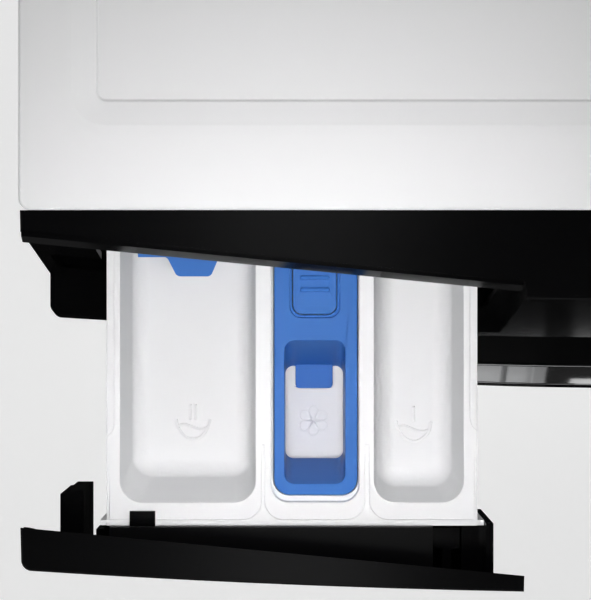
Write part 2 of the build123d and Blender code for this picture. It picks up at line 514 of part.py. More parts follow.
tubr = turned([(TUB_IN, -60), (258, -60), (258, -56), (TUB_R, -56), (TUB_R, 165), (46, 165), (46, 212), (32.6, 212), (32.6, 196),
               (26, 196), (26, 182), (32.6, 182), (32.6, 163), (20, 163), (20, 158), (50, 158), (50, 161), (TUB_IN, 161)])
for i in range(12):
    tubr += Pos(0, 0, AXIS_Z) * Rot(0, 30 * i + 15, 0) * box(44, 248, 164.5, 178, -1.6, 1.6)
sump = box(-85, 5, -44, 165, 148, 200)
tubr += sump - cyl_y(0, AXIS_Z, 248, -50, 166)
for y in (60.0, 150.0):
    tubr += box(MX - 50, MX + 50, y, y + 14, 120, 215) - cyl_y(0, AXIS_Z, 248, -50, 170) - cyl_y(MX, MZ, 52.0, 0, 200)
for s in (-1, 1):
    lug = box(min(s * 190, s * 284), max(s * 190, s * 284), SPRING_Y - 12, SPRING_Y + 12, 548, 556)
    lug += box(min(s * 190, s * 215), max(s * 190, s * 215), SPRING_Y - 12, SPRING_Y + 12, 520, 556)
    tubr += lug - cyl_y(0, AXIS_Z, 248, -50, 170)
    tubr -= cyl_z(s * SPRING_X, SPRING_Y, 2.4, 540, 560)
    d = box(s * DAMPER_X - 14, s * DAMPER_X + 14, DAMPER_Y - 12, DAMPER_Y + 12, 238, 300)
    tubr += d - cyl_y(0, AXIS_Z, 248, -50, 170)
tubr -= cyl_y(0, AXIS_Z, TUB_IN, -60, 161) - turned([(0, 157), (50, 157), (50, 161.5), (0, 161.5)])
tubr -= box(-81, 1, -40, 161, 152, 210)
tubr -= box(-62, -18, 150, 180, 156, 166)
save(tubr, "tub_rear")

cw = None
for s in (90, 270):
    seg = turned([(191, -239), (243, -239), (243, -208.0), (191, -208.0)])
    w = prism_y([(0, 0)] + [(400 * math.cos(math.radians(s + t)), 400 * math.sin(math.radians(s + t))) for t in (-48, -24, 0, 24, 48)], -300, -100)
    seg = seg & (Pos(0, 0, AXIS_Z) * w)
    for t in (-34, 34):
        an = math.radians(s + t)
        seg -= cyl_y(217 * math.cos(an), AXIS_Z + 217 * math.sin(an), 12, -245, -228)
    cw = seg if cw is None else cw + seg
save(cw, "counterweights")

heater = box(-61.6, -18.4, 161, 165.5, 156.4, 165.6) + box(-68, -12, 165, 171, 151, 171)
heater += cyl_y(-48, 161, 3, 171, 182) + cyl_y(-32, 161, 3, 171, 182)
heater += pipe([(-53, 162, 161), (-53, -30, 161), (-27, -30, 161), (-27, 162, 161)], 3.4, 0, 12)
save(heater, "heater")

motor = cyl_y(MX, MZ, 52.0, 24, 186) - cyl_y(MX, MZ, 33, 44, 166) - cyl_y(MX, MZ, 6.06, 20, 190)
for i in range(12):
    motor -= Pos(MX, 0, MZ) * Rot(0, 30 * i, 0) * box(38, 46, 180, 190, -3, 3)
save(motor, "motor_housing")
rotor = cyl_y(MX, MZ, 6.0, 18, 240) + cyl_y(MX, MZ, 32.4, 52, 158) + cyl_y(MX, MZ, 9.0, 212, 236)
rotor += cyl_y(MX, MZ, 11.0, 210, 213) + cyl_y(MX, MZ, 11.0, 235, 238)
save(rotor, "motor_rotor")

bear = turned([(15.06, 163), (32.5, 163), (32.5, 180), (15.06, 180)])
bear -= turned([(20.5, 162), (27, 162), (27, 165), (20.5, 165)]) + turned([(20.5, 178), (27, 178), (27, 181), (20.5, 181)])
b2 = turned([(15.06, 197), (32.5, 197), (32.5, 211), (15.06, 211)])
b2 -= turned([(20.5, 196), (27, 196), (27, 199), (20.5, 199)]) + turned([(20.5, 209), (27, 209), (27, 212), (20.5, 212)])
save(bear + b2, "drum_bearings")

# drum
shell = turned([(168, -190), (171, -192), (174, -190), (174, -188), (DRUM_R - 8, -184.5), (DRUM_R, -177), (DRUM_R, 128.5), (26, 128.5),
                (26, 127), (DRUM_R - 1.5, 127), (DRUM_R - 1.5, -176), (DRUM_R - 9, -183), (172.5, -186.4), (168, -188)])
save(shell, "drum_shell")
lift = None
for i in range(3):
    t = prism_y([(-30, 238), (-26, 226), (-12, 196), (-7, 190), (7, 190), (12, 196), (26, 226), (30, 238)], -150, 100)
    t = t & cyl_y(0, 0, DRUM_R - 1.5, -160, 110)
    t = Pos(0, 0, AXIS_Z) * Rot(0, 120 * i + 60, 0) * t
    lift = t if lift is None else lift + t
save(lift, "drum_lifters")
spider = cyl_y(0, AXIS_Z, 38, 128.5, 152) + cyl_y(0, AXIS_Z, 15.0, 150, 240) + cyl_y(0, AXIS_Z, 25.6, 124.5, 129)
for i in range(3):
    spider += Pos(0, 0, AXIS_Z) * Rot(0, 120 * i + 60, 0) * prism_y([(-16, 20), (-10, 232), (10, 232), (16, 20)], 128.5, 142)
save(spider, "drum_spider")
pull = turned([(15.02, 214), (28, 214), (28, 220), (132, 220), (132, 214), (140, 214), (140, 234), (132, 234), (132, 225), (28, 225), (28, 236), (15.02, 236)])
for i in range(6):
    pull -= Pos(0, 222, AXIS_Z) * Rot(0, 60 * i, 0) * (Pos(82, 0, 0) * Rot(90, 0, 0) * Cylinder(32, 20))
save(pull, "drum_pulley")


def loop(r1, r2, y0, y1):
    """closed band round the drum pulley and the motor pulley"""
    c1, c2 = Vector(0, AXIS_Z), Vector(MX, MZ)
    d = (c2 - c1)
    L = d.length
    th = math.atan2(d.Y, d.X)
    al = math.acos((r1 - r2) / L)
    p = [(c1.X + r1 * math.cos(th + al), c1.Y + r1 * math.sin(th + al)), (c2.X + r2 * math.cos(th + al), c2.Y + r2 * math.sin(th + al)),
         (c2.X + r2 * math.cos(th - al), c2.Y + r2 * math.sin(th - al)), (c1.X + r1 * math.cos(th - al), c1.Y + r1 * math.sin(th - al))]
    return prism_y(p, y0, y1) + cyl_y(0, AXIS_Z, r1, y0, y1) + cyl_y(MX, MZ, r2, y0, y1)


save(loop(144.3, 13.3, 216, 232) - loop(140.3, 9.3, 215, 233), "drive_belt")

# suspension
cyls = None
rods = None
for s in (-1, 1):
    c = cyl_z(s * DAMPER_X, DAMPER_Y, 14, 58, 160) - cyl_z(s * DAMPER_X, DAMPER_Y, 9.5, 70, 170)
    c += cyl_z(s * DAMPER_X, DAMPER_Y, 4.9, 46, 59)
    r = cyl_z(s * DAMPER_X, DAMPER_Y, 9.0, 96, 112) + cyl_z(s * DAMPER_X, DAMPER_Y, 6.0, 96, 238)
    cyls = c if cyls is None else cyls + c
    rods = r if rods is None else rods + r
save(cyls, "damper_cylinders")
save(rods, "damper_rods")

spr = None
for s in (-1, 1):
    h = Helix(pitch=7.0, height=98.0, radius=8.0)
    co = Pos(s * SPRING_X, SPRING_Y, 636) * sweep(Plane(origin=h @ 0, z_dir=h % 0) * Circle(1.5), path=h, is_frenet=True)
    for z in (636.0, 734.0):
        co += Pos(s * SPRING_X + 4.0, SPRING_Y, z) * Rot(0, 90, 0) * Cylinder(1.5, 11.0)
    co += cyl_z(s * SPRING_X, SPRING_Y, 1.5, 556.4, 636) + cyl_z(s * SPRING_X, SPRING_Y, 1.5, 734, 816.9)
    co += cyl_z(s * SPRING_X, SPRING_Y, 4.0, 556.0, 558.5) + cyl_z(s * SPRING_X, SPRING_Y, 4.0, 815.0, 817.3)
    spr = co if spr is None else spr + co
save(spr, "suspension_springs")

# ------------------------------------------------------------------ door
frame = turned([(156, -277.5), (229.5, -277.5), (229.5, -350), (226, -350), (226, -281.5), (196, -281.5), (196, -350),
                (192.5, -350), (192.5, -281.5), (156, -281.5)])
bow79 = arc_slab(10, 79.0)
frame = frame & bow79
frame -= turned([(210, -270), (240, -270), (240, -360), (210, -360)]) & arc_slab(72.3, 120)
cupb = (box(217, 229.0, -313, -277.5, 376, 454) & cyl_y(0, AXIS_Z, 229.2, -330, -270)) 
frame += cupb
frame -= box(219.2, 240, -311, -270, 378.4, 451.6)
frame -= box(200, 214.5, -290, -270, 405, 425)
HOOK_Y = -292.0
for z0, z1 in ((399.5, 406.5), (423.5, 430.5)):
    frame += box(202, 212, -297, -281, z0, z1) - cyl_z(LOCK_X, HOOK_Y, 2.6, 390, 440)
save(frame, "door_frame")
chrome = turned([(219, -300), (DOOR_R, -300), (DOOR_R, -345), (219, -345)]) & arc_slab(72.3, 82.9)
save(chrome, "door_chrome_ring")
cov = (cyl_y(0, AXIS_Z, 228.0, -345, -300) & arc_slab(82.9, 84.2)) + (cyl_y(0, AXIS_Z, 218.6, -345, -300) & arc_slab(79.0, 82.95))
save(cov, "door_cover")
glass = turned([(0, -206), (96, -206), (112, -214), (122, -232), (148, -285.5), (150, -286.5), (192.2, -286.5), (192.2, -281.5), (155.5, -281.5),
                (152, -279), (128, -229.5), (117, -208.5), (99, -200), (0, -200)])
save(glass, "door_glass")
hook = box(204.4, 209.6, -296, -257, 407, 423) + prism_z([(209.0, -257), (207.0, -253), (204.4, -253), (204.4, -257)], 407, 423)
hook += prism_z([(209.0, -264), (214, -264), (209.5, -256), (204.4, -253.5), (204.4, -257)], 407, 423)
hook += cyl_z(LOCK_X, HOOK_Y, 2.5, 400, 430)
save(hook, "door_hook")
PIN_X, PIN_Y = -239.0, -306.0
hb = box(-264, -233, -277, PANEL_Y, 362, 468)
for z0, z1 in ((365, 394.4), (435.6, 465)):
    hb += box(-245, -233, PIN_Y, -276, z0, z1) + cyl_z(PIN_X, PIN_Y, 6.0, z0, z1)
hb += cyl_z(PIN_X, PIN_Y, 3.0, 365, 465)
save(hb, "hinge_bracket")
arm2 = cyl_z(PIN_X, PIN_Y, 6.0, 395, 435) + box(PIN_X, -224, PIN_Y - 6, PIN_Y + 6, 395, 435)
arm2 = arm2 - cyl_y(0, AXIS_Z, 229.5, -330, -280) - cyl_z(PIN_X, PIN_Y, 3.06, 390, 440)
save(arm2, "hinge_arm")
lock = box(190, 228, -273.8, -243, 395, 435) - box(195, 221, -275, -248, 402, 428)
save(lock, "door_lock")
gasket = turned([(158, -273), (160, -275.6), (166, -277.0), (184, -277.0), (184, -275), (176.4, -275), (176.4, -261), (172, -258), (171, -240), (171, -214), (166, -212),
                 (166, -236), (168, -256), (166, -262), (166, -269), (161, -271)])
save(gasket, "door_gasket")
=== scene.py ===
import json
import math

import bmesh
import bpy
from mathutils import Matrix, Vector


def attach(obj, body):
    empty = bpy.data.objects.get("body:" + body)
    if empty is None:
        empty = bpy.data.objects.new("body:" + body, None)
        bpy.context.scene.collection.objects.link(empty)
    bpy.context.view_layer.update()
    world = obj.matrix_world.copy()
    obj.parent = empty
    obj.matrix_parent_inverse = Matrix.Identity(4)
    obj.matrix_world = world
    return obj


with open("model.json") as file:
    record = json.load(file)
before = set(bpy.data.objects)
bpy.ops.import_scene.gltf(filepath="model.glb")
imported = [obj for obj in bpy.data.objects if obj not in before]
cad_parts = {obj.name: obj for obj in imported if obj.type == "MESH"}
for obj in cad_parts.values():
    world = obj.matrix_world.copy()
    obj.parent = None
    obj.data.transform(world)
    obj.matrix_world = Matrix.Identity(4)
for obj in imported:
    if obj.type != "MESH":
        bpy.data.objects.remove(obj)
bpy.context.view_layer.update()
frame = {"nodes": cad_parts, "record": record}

N = frame["nodes"]
Y0 = -0.253


def Y(a):
    """y of a point a millimetres ahead of the top panel's front edge"""
    return Y0 - a / 1000.0


# ------------------------------------------------------------------ materials
def new_mat(name):
    m = bpy.data.materials.new(name)
    m.use_nodes = True
    nt = m.node_tree
    b = nt.nodes["Principled BSDF"]
    return m, nt, b


def noise(nt, scale, detail=4.0, rough=0.55, coord="Object", stretch=None):
    tc = nt.nodes.new("ShaderNodeTexCoord")
    mp = nt.nodes.new("ShaderNodeMapping")
    nt.links.new(tc.outputs[coord], mp.inputs["Vector"])
    if stretch:
        mp.inputs["Scale"].default_value = stretch
    n = nt.nodes.new("ShaderNodeTexNoise")
    n.inputs["Scale"].default_value = scale
    n.inputs["Detail"].default_value = detail
    n.inputs["Roughness"].default_value = rough
    nt.links.new(mp.outputs["Vector"], n.inputs["Vector"])
    return n


def ramp(nt, src, stops):
    r = nt.nodes.new("ShaderNodeValToRGB")
    cr = r.color_ramp
    while len(cr.elements) < len(stops):
        cr.elements.new(0.5)
    for e, (p, c) in zip(cr.elements, stops):
        e.position = p
        e.color = (*c, 1.0) if len(c) == 3 else c
    nt.links.new(src, r.inputs["Fac"])
    return r


def maprange(nt, src, lo, hi):
    m = nt.nodes.new("ShaderNodeMapRange")
    m.inputs["To Min"].default_value = lo
    m.inputs["To Max"].default_value = hi
    nt.links.new(src, m.inputs["Value"])
    return m


def bump(nt, b, src, strength, dist=0.0004, chain=None):
    n = nt.nodes.new("ShaderNodeBump")
    n.inputs["Strength"].default_value = strength
    n.inputs["Distance"].default_value = dist
    nt.links.new(src, n.inputs["Height"])
    if chain:
        nt.links.new(chain.outputs["Normal"], n.inputs["Normal"])
    nt.links.new(n.outputs["Normal"], b.inputs["Normal"])
    return n


def plastic(name, col, rough, grain=900.0, gstrength=0.12, vary=0.03, coat=0.0, sss=0.0, ior=1.46, rvary=0.05, blotch=7.0):
    """moulded plastic: fine grain, slow colour drift, and roughness that varies as handled plastic does"""
    m, nt, b = new_mat(name)
    big = noise(nt, blotch, 3.0)
    fine = noise(nt, grain, 2.0)
    lo = tuple(max(0.0, c * (1 - vary)) for c in col)
    hi = tuple(min(1.0, c * (1 + vary)) for c in col)
    r = ramp(nt, big.outputs["Fac"], [(0.3, lo), (0.7, hi)])
    nt.links.new(r.outputs["Color"], b.inputs["Base Color"])
    rr = maprange(nt, big.outputs["Fac"], max(0.02, rough - rvary), rough + rvary)
    nt.links.new(rr.outputs["Result"], b.inputs["Roughness"])
    b.inputs["IOR"].default_value = ior
    if coat:
        b.inputs["Coat Weight"].default_value = coat
        b.inputs["Coat Roughness"].default_value = 0.04
    if sss:
        b.inputs["Subsurface Weight"].default_value = sss
        b.inputs["Subsurface Radius"].default_value = (0.004, 0.0035, 0.003)
        b.inputs["Subsurface Scale"].default_value = 1.0
    bump(nt, b, fine.outputs["Fac"], gstrength, 0.0002)
    return m


def metal(name, col, rough, brush=None, gstrength=0.1, spangle=0.0):
    m, nt, b = new_mat(name)
    b.inputs["Metallic"].default_value = 1.0
    n = noise(nt, 60.0, 5.0, stretch=brush) if brush else noise(nt, 40.0, 5.0)
    k = 0.12 if not spangle else spangle
    r = ramp(nt, n.outputs["Fac"], [(0.25, tuple(c * (1 - k) for c in col)), (0.75, tuple(min(1, c * (1 + k * 0.6)) for c in col))])
    nt.links.new(r.outputs["Color"], b.inputs["Base Color"])
    rr = maprange(nt, n.outputs["Fac"], rough * 0.8, rough * 1.25)
    nt.links.new(rr.outputs["Result"], b.inputs["Roughness"])
    bump(nt, b, n.outputs["Fac"], gstrength, 0.0002)
    return m


def rubber(name, col, rough):
    m, nt, b = new_mat(name)
    n = noise(nt, 220.0, 6.0)
    big = noise(nt, 14.0, 3.0)
    r = ramp(nt, big.outputs["Fac"], [(0.3, tuple(c * 0.85 for c in col)), (0.7, tuple(c * 1.15 for c in col))])
    nt.links.new(r.outputs["Color"], b.inputs["Base Color"])
    b.inputs["Roughness"].default_value = rough
    b.inputs["Sheen Weight"].default_value = 0.15
    bump(nt, b, n.outputs["Fac"], 0.25, 0.0003)
    return m


# white laminate lid: clear gloss over a faint mottle
def lid_white():
    m, nt, b = new_mat("lid_white")
    big = noise(nt, 5.0, 3.0)
    fine = noise(nt, 520.0, 3.0)
    r = ramp(nt, big.outputs["Fac"], [(0.3, (0.745, 0.748, 0.752)), (0.7, (0.757, 0.759, 0.763))])
    nt.links.new(r.outputs["Color"], b.inputs["Base Color"])
    rr = maprange(nt, fine.outputs["Fac"], 0.33, 0.37)
    nt.links.new(rr.outputs["Result"], b.inputs["Roughness"])
    b.inputs["IOR"].default_value = 1.5
    bump(nt, b, fine.outputs["Fac"], 0.03, 0.0001)
    return m


MAT = {
    "white_lid": lid_white(),
    "white_enamel": plastic("white_enamel_m", (0.78, 0.785, 0.79), 0.16, grain=260.0, gstrength=0.03, vary=0.012, coat=0.5, rvary=0.03, blotch=3.0),
    "gloss_black": plastic("gloss_black_m", (0.0012, 0.0012, 0.0014), 0.17, grain=700.0, gstrength=0.02, vary=0.25, rvary=0.03, ior=1.4, blotch=9.0),
    "satin_black": plastic("satin_black_m", (0.0012, 0.0012, 0.0014), 0.34, grain=700.0, gstrength=0.02, vary=0.25, rvary=0.03, ior=1.62, blotch=9.0),
    "door_black": plastic("door_black_m", (0.0012, 0.0012, 0.0014), 0.32, grain=700.0, gstrength=0.03, vary=0.25, rvary=0.03, ior=1.25, blotch=9.0),
    "display_black": plastic("smoked_window", (0.003, 0.003, 0.0045), 0.05, grain=300.0, gstrength=0.008, vary=0.2, rvary=0.015, ior=1.52),
    "black_plastic": plastic("grained_black", (0.016, 0.016, 0.018), 0.48, grain=1100.0, gstrength=0.35, vary=0.12, rvary=0.06),
    "tray_white": plastic("tray_white_m", (0.80, 0.803, 0.81), 0.34, grain=1500.0, gstrength=0.10, vary=0.012, rvary=0.05, sss=0.0, blotch=16.0),
    "insert_blue": plastic("insert_blue_m", (0.046, 0.165, 0.50), 0.30, grain=1500.0, gstrength=0.03, vary=0.012, rvary=0.02, ior=1.14, blotch=30.0),
    "housing_plastic": plastic("housing_grey", (0.36, 0.37, 0.385), 0.45, grain=900.0, gstrength=0.2, vary=0.04),
    "tub_plastic": plastic("tub_filled", (0.52, 0.53, 0.535), 0.5, grain=500.0, gstrength=0.4, vary=0.07, blotch=22.0),
    "silver_plastic": plastic("silver_lacquer", (0.46, 0.47, 0.485), 0.24, grain=1600.0, gstrength=0.06, vary=0.03, coat=0.4),
    "valve_blue": plastic("valve_blue_m", (0.02, 0.06, 0.19), 0.42, grain=900.0, gstrength=0.2, vary=0.06),
    "board_green": plastic("board_green_m", (0.012, 0.09, 0.03), 0.32, grain=420.0, gstrength=0.25, vary=0.18, blotch=90.0),
    "rubber_grey": rubber("rubber_grey_m", (0.085, 0.087, 0.09), 0.6),
    "rubber_black": rubber("rubber_black_m", (0.012, 0.012, 0.013), 0.55),
    "drive_rubber": rubber("belt_rubber", (0.012, 0.012, 0.013), 0.5),
    "chrome": metal("chrome_m", (0.86, 0.865, 0.87), 0.07, gstrength=0.012),
    "zinc": metal("galvanised", (0.52, 0.54, 0.56), 0.34, gstrength=0.06, spangle=0.16),
    "steel": metal("plain_steel", (0.42, 0.42, 0.43), 0.33, brush=(1, 8, 1), gstrength=0.08),
    "alloy": metal("cast_alloy", (0.5, 0.51, 0.52), 0.5, gstrength=0.5),
}


def concrete():
    m, nt, b = new_mat("cast_concrete")
    n = noise(nt, 55.0, 8.0, 0.7)
    v = nt.nodes.new("ShaderNodeTexVoronoi")
    v.inputs["Scale"].default_value = 160.0
    tc = nt.nodes.new("ShaderNodeTexCoord")
    nt.links.new(tc.outputs["Object"], v.inputs["Vector"])
    r = ramp(nt, n.outputs["Fac"], [(0.3, (0.14, 0.135, 0.13)), (0.55, (0.22, 0.215, 0.205)), (0.75, (0.31, 0.3, 0.285))])
    nt.links.new(r.outputs["Color"], b.inputs["Base Color"])
    b.inputs["Roughness"].default_value = 0.92
    bp = bump(nt, b, n.outputs["Fac"], 0.6, 0.001)
    bump(nt, b, v.outputs["Distance"], 0.3, 0.0006, chain=bp)
    return m


MAT["concrete"] = concrete()


def drum_steel():
    """stainless sheet with rows of round holes drawn round the shell; the holes are near-black spots, painted shade of
    the hollow behind the shell
    """
    m, nt, b = new_mat("drum_perforated")
    L = nt.links
    tc = nt.nodes.new("ShaderNodeTexCoord")
    sp = nt.nodes.new("ShaderNodeSeparateXYZ")
    L.new(tc.outputs["Object"], sp.inputs["Vector"])
    zc = nt.nodes.new("ShaderNodeMath"); zc.operation = "SUBTRACT"; zc.inputs[1].default_value = 0.415
    L.new(sp.outputs["Z"], zc.inputs[0])
    at = nt.nodes.new("ShaderNodeMath"); at.operation = "ARCTAN2"
    L.new(zc.outputs[0], at.inputs[0]); L.new(sp.outputs["X"], at.inputs[1])
    u = nt.nodes.new("ShaderNodeMath"); u.operation = "MULTIPLY"; u.inputs[1].default_value = 96 / (2 * math.pi)
    L.new(at.outputs[0], u.inputs[0])
    w = nt.nodes.new("ShaderNodeMath"); w.operation = "MULTIPLY"; w.inputs[1].default_value = 1 / 0.0155
    L.new(sp.outputs["Y"], w.inputs[0])
    fl = nt.nodes.new("ShaderNodeMath"); fl.operation = "FLOOR"
    L.new(w.outputs[0], fl.inputs[0])
    md = nt.nodes.new("ShaderNodeMath"); md.operation = "FLOORED_MODULO"; md.inputs[1].default_value = 2.0
    L.new(fl.outputs[0], md.inputs[0])
    hf = nt.nodes.new("ShaderNodeMath"); hf.operation = "MULTIPLY_ADD"; hf.inputs[1].default_value = 0.5
    L.new(md.outputs[0], hf.inputs[0]); L.new(u.outputs[0], hf.inputs[2])

    def cell(src):
        fr = nt.nodes.new("ShaderNodeMath"); fr.operation = "FRACT"
        L.new(src, fr.inputs[0])
        s = nt.nodes.new("ShaderNodeMath"); s.operation = "SUBTRACT"; s.inputs[1].default_value = 0.5
        L.new(fr.outputs[0], s.inputs[0])
        q = nt.nodes.new("ShaderNodeMath"); q.operation = "MULTIPLY"
        L.new(s.outputs[0], q.inputs[0]); L.new(s.outputs[0], q.inputs[1])
        return q
    a, c = cell(hf.outputs[0]), cell(w.outputs[0])
    ad = nt.nodes.new("ShaderNodeMath"); ad.operation = "ADD"
    L.new(a.outputs[0], ad.inputs[0]); L.new(c.outputs[0], ad.inputs[1])
    hole = ramp(nt, ad.outputs[0], [(0.017, (0, 0, 0)), (0.028, (1, 1, 1))])
    br = noise(nt, 40.0, 6.0, stretch=(1.0, 14.0, 1.0))
    base = ramp(nt, br.outputs["Fac"], [(0.25, (0.50, 0.51, 0.52)), (0.75, (0.68, 0.69, 0.70))])
    mix = nt.nodes.new("ShaderNodeMix"); mix.data_type = "RGBA"
    L.new(hole.outputs["Color"], mix.inputs["Factor"])
    # near-black colour of the holes: painted shade standing in for the dark seen through open holes
    mix.inputs[6].default_value = (0.01, 0.01, 0.011, 1)
    L.new(base.outputs["Color"], mix.inputs[7])
    L.new(mix.outputs[2], b.inputs["Base Color"])
    b.inputs["Metallic"].default_value = 1.0
    rr = maprange(nt, br.outputs["Fac"], 0.22, 0.34)
    L.new(rr.outputs["Result"], b.inputs["Roughness"])
    bump(nt, b, hole.outputs["Color"], 0.5, 0.0008)
    return m


MAT["drum_steel"] = drum_steel()


def glass():
    m, nt, b = new_mat("bowl_glass")
    n = noise(nt, 18.0, 2.0)
    r = ramp(nt, n.outputs["Fac"], [(0.3, (0.86, 0.9, 0.91)), (0.7, (0.9, 0.94, 0.95))])
    nt.links.new(r.outputs["Color"], b.inputs["Base Color"])
    b.inputs["Transmission Weight"].default_value = 0.92
    b.inputs["Roughness"].default_value = 0.03
    b.inputs["IOR"].default_value = 1.5
    bump(nt, b, n.outputs["Fac"], 0.02, 0.001)
    return m


MAT["door_glass"] = glass()

slots = {s["node"]: s["material_slot"] for s in frame["record"]["subparts"]}
BEVEL = {"drawer_front": 0.0009, "fascia": 0.0009, "drawer_tray": 0.00025, "softener_siphon": 0.00035, "release_tab": 0.0003, "liquid_flap": 0.0005,
         "front_panel": 0.001, "plinth_panel": 0.001, "service_flap": 0.0003, "door_frame": 0.0012, "door_chrome_ring": 0.0012, "door_cover": 0.001,
         "programme_knob": 0.0004, "power_button": 0.0005, "start_button": 0.0005, "hinge_bracket": 0.0003, "hinge_arm": 0.0006, "base_frame": 0.001,
         "counterweights": 0.003, "rear_access_cover": 0.001, "door_lock": 0.0008, "door_hook": 0.0005, "drain_pump": 0.0008, "motor_housing": 0.001,
         "tub_front": 0.001, "tub_rear": 0.001, "drum_lifters": 0.003, "drum_spider": 0.0015, "drum_pulley": 0.001, "dispenser_housing": 0.0006, "dispenser_lid": 0.0006}


TIGHT = {"drawer_front", "fascia", "front_panel", "plinth_panel", "dispenser_lid", "door_hook", "liquid_flap", "release_tab"}


def node_group(name):
    g = bpy.data.node_groups.new(name, "GeometryNodeTree")
    g.interface.new_socket("Geometry", in_out="INPUT", socket_type="NodeSocketGeometry")
    g.interface.new_socket("Geometry", in_out="OUTPUT", socket_type="NodeSocketGeometry")
    return g, g.nodes.new("NodeGroupInput"), g.nodes.new("NodeGroupOutput")


def weld_group():
    """joins the face patches of a CAD node into one closed skin"""
    g, gi, go = node_group("weld_patches")
    rm = g.nodes.new("GeometryNodeRemoveAttribute")
    rm.inputs["Name"].default_value = "custom_normal"
    md = g.nodes.new("GeometryNodeMergeByDistance")
    md.inputs["Distance"].default_value = 2e-6
    g.links.new(gi.outputs[0], rm.inputs[0])
    g.links.new(rm.outputs[0], md.inputs[0])
    g.links.new(md.outputs[0], go.inputs[0])
    return g


def shade_group(angle):
    """smooth faces, with edges sharper than the angle kept sharp"""
    g, gi, go = node_group("shade_by_angle")
    f = g.nodes.new("GeometryNodeSetShadeSmooth")
    f.domain = "FACE"
    f.inputs["Shade Smooth"].default_value = True
    c = g.nodes.new("GeometryNodeSetShadeSmooth")
    c.domain = "EDGE"
    c.inputs["Shade Smooth"].default_value = True
    e = g.nodes.new("GeometryNodeSetShadeSmooth")
    e.domain = "EDGE"
    e.inputs["Shade Smooth"].default_value = False
    ea = g.nodes.new("GeometryNodeInputMeshEdgeAngle")
    gt = g.nodes.new("FunctionNodeCompare")
    gt.data_type = "FLOAT"
    gt.operation = "GREATER_THAN"
    gt.inputs[1].default_value = math.radians(angle)
    g.links.new(ea.outputs[0], gt.inputs[0])
    g.links.new(gt.outputs[0], e.inputs["Selection"])
    g.links.new(gi.outputs[0], f.inputs[0])
    g.links.new(f.outputs[0], c.inputs[0])
    g.links.new(c.outputs[0], e.inputs[0])
    g.links.new(e.outputs[0], go.inputs[0])
    return g


WELD, SHADE = weld_group(), shade_group(35)


def finish_edges(o, width, tight):
    """rounds a node's hard edges by that width and shades it; tight nodes have thin walls, where the rounding has to give way"""
    o.modifiers.new("weld", "NODES").node_group = WELD
    if width:
        bv = o.modifiers.new("edge", "BEVEL")
        bv.width = width
        bv.segments = 2
        bv.limit_method = "ANGLE"
        bv.angle_limit = math.radians(50)
        bv.use_clamp_overlap = tight
    o.modifiers.new("shade", "NODES").node_group = SHADE
    wn = o.modifiers.new("normals", "WEIGHTED_NORMAL")
    wn.keep_sharp = True
    wn.weight = 70


for name, o in N.items():
    o.data.materials.clear()
    o.data.materials.append(MAT["door_black" if name == "door_frame" else slots[name]])
    for p in o.data.polygons:
        p.material_index = 0
    finish_edges(o, BEVEL.get(name, 0.0), name in TIGHT)


# ------------------------------------------------------------------ pieces
def mesh_object(name, verts, faces, mat, body, slot=None, smooth_it=False):
    me = bpy.data.meshes.new(name)
    me.from_pydata(verts, [], faces)
    me.update()
    o = bpy.data.objects.new(name, me)
    bpy.context.scene.collection.objects.link(o)
    me.materials.append(mat)
    if smooth_it:
        for p in me.polygons:
            p.use_smooth = True
    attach(o, body)
    return o


def smooth_path(pts, n=8, closed=False):
    """Catmull-Rom through the points"""
    out = []
    k = len(pts)
    rng = range(k) if closed else range(k - 1)
    for i in rng:
        p0 = pts[(i - 1) % k] if closed or i > 0 else pts[0]
        p1, p2 = pts[i], pts[(i + 1) % k]
        p3 = pts[(i + 2) % k] if closed or i + 2 < k else pts[-1]
        for s in range(n):
            t = s / n
            out.append(tuple(0.5 * ((2 * b) + (c - a) * t + (2 * a - 5 * b + 4 * c - d) * t * t + (3 * b - a - 3 * c + d) * t ** 3)
                             for a, b, c, d in zip(p0, p1, p2, p3)))
    if not closed:
        out.append(pts[-1])
    return out


def ribbon(bm, path, width, height, z, closed=False, frame_m=None):
    """raised half-round line of that width along a path in a plane; frame_m places the plane"""
    prof = [(-0.5, 0.0), (-0.42, 0.62), (-0.2, 0.95), (0.2, 0.95), (0.42, 0.62), (0.5, 0.0)]
    k = len(path)
    rings = []
    for i, p in enumerate(path):
        a = path[(i - 1) % k] if closed or i > 0 else p
        b = path[(i + 1) % k] if closed or i < k - 1 else p
        d = Vector((b[0] - a[0], b[1] - a[1]))
        d.normalize()
        nrm = Vector((-d.y, d.x))
        ring = []
        for u, h in prof:
            v = Vector((p[0] + nrm.x * u * width, p[1] + nrm.y * u * width, z + h * height))
            if frame_m is not None:
                v = frame_m @ v
            ring.append(bm.verts.new(v))
        rings.append(ring)
    for i in range(k if closed else k - 1):
        a, b = rings[i], rings[(i + 1) % k]
        for j in range(len(prof) - 1):
            bm.faces.new((a[j], a[j + 1], b[j + 1], b[j]))
        bm.faces.new((a[-1], a[0], b[0], b[-1]))
    if not closed:
        bm.faces.new(list(reversed(rings[0])))
        bm.faces.new(rings[-1])
    return rings


def bm_object(name, bm, mat, body):
    bmesh.ops.recalc_face_normals(bm, faces=bm.faces)
    me = bpy.data.meshes.new(name)
    bm.to_mesh(me)
    bm.free()
    o = bpy.data.objects.new(name, me)
    bpy.context.scene.collection.objects.link(o)
    me.materials.append(mat)
    for p in me.polygons:
        p.use_smooth = True
    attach(o, body)
    return o


def capsule(cx, y0, y1, r, n=6):
    """points down one bar; the ribbon closes its ends flat"""
    return [(cx, y0 + (y1 - y0) * i / n) for i in range(n + 1)]


# embossed marks on the compartment floors: wave-topped basins, bars and a flower
FLOOR = 0.768


def mm(pts):
    return [(x / 1000.0, Y(a)) for x, a in pts]


